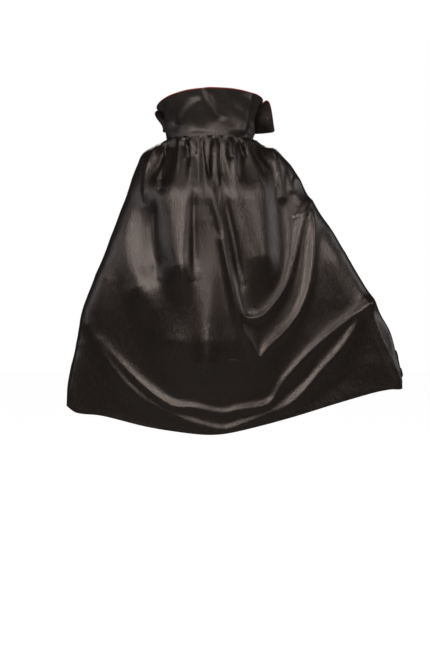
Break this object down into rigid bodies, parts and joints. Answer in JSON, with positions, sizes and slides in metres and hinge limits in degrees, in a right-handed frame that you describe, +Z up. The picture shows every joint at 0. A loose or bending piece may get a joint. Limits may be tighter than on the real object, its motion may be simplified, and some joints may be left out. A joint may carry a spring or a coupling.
{
  "type": "costume cape",
  "caption": "Child's black satin costume cape, gathered into a stand-up collar with turned-out points and a red lining, shown worn and held spread by its front corners.",
  "frame": {"origin": "middle of the neck opening, in the plane of the neck seam", "axes": "+Z up along the neck, -Y the way the wearer faces, +X the wearer's left"},
  "size_m": [0.7337, 0.2113, 0.7577],
  "materials": {
    "cape_satin": "black polyester satin, soft broad sheen",
    "collar_satin": "black polyester satin over interlining",
    "red_lining": "red satin lining",
    "interlining": "stiff non-woven interlining",
    "binding_tape": "matt woven tape",
    "sewing_thread": "twisted polyester thread",
    "label_tape": "blank woven label tape",
    "loop_tape": "brushed loop pile",
    "hook_tape": "moulded nylon hooks on tape"
  },
  "bodies": {
    "root": {"back_panel": "cape_satin", "back_hem": "cape_satin", "left_neck_facing": "cape_satin", "right_neck_facing": "cape_satin", "neck_binding": "binding_tape", "gathering_thread": "sewing_thread", "neck_seam_stitching": "sewing_thread", "collar_outer": "collar_satin", "collar_interlining": "interlining", "collar_lining": "red_lining", "collar_edge_stitching": "sewing_thread", "care_label": "label_tape", "loop_patch": "loop_tape", "closure_tab_end": "binding_tape"},
    "left_wing": {"left_wing_panel": "cape_satin", "left_wing_hem": "cape_satin", "left_front_facing": "cape_satin"},
    "right_wing": {"right_wing_panel": "cape_satin", "right_wing_hem": "cape_satin", "right_front_facing": "cape_satin"},
    "left_collar_point": {"left_point_outer": "collar_satin", "left_point_interlining": "interlining", "left_point_lining": "red_lining"},
    "right_collar_point": {"right_point_outer": "collar_satin", "right_point_interlining": "interlining", "right_point_lining": "red_lining"},
    "closure_tab": {"closure_tab": "binding_tape", "hook_patch": "hook_tape"}
  },
  "joints": [
    {"name": "left_wing_close", "type": "hinge", "parent": "root", "child": "left_wing", "pos_m": [0.12, 0, 0], "axis": [0, 0, 1], "range_deg": [-45, 0]},
    {"name": "right_wing_close", "type": "hinge", "parent": "root", "child": "right_wing", "pos_m": [-0.12, 0, 0], "axis": [0, 0, 1], "range_deg": [0, 45]},
    {"name": "left_point_fold", "type": "hinge", "parent": "root", "child": "left_collar_point", "pos_m": [0.026, -0.0715, 0.026], "axis": [0.7417, 0.413, 0.5285], "range_deg": [-65, 40]},
    {"name": "right_point_fold", "type": "hinge", "parent": "root", "child": "right_collar_point", "pos_m": [-0.026, -0.0715, 0.026], "axis": [-0.7417, 0.413, 0.5285], "range_deg": [0, 110]},
    {"name": "closure_tab_open", "type": "hinge", "parent": "root", "child": "closure_tab", "pos_m": [0.026, -0.0748, 0.012], "axis": [0, 0, 1], "range_deg": [0, 140]}
  ]
}
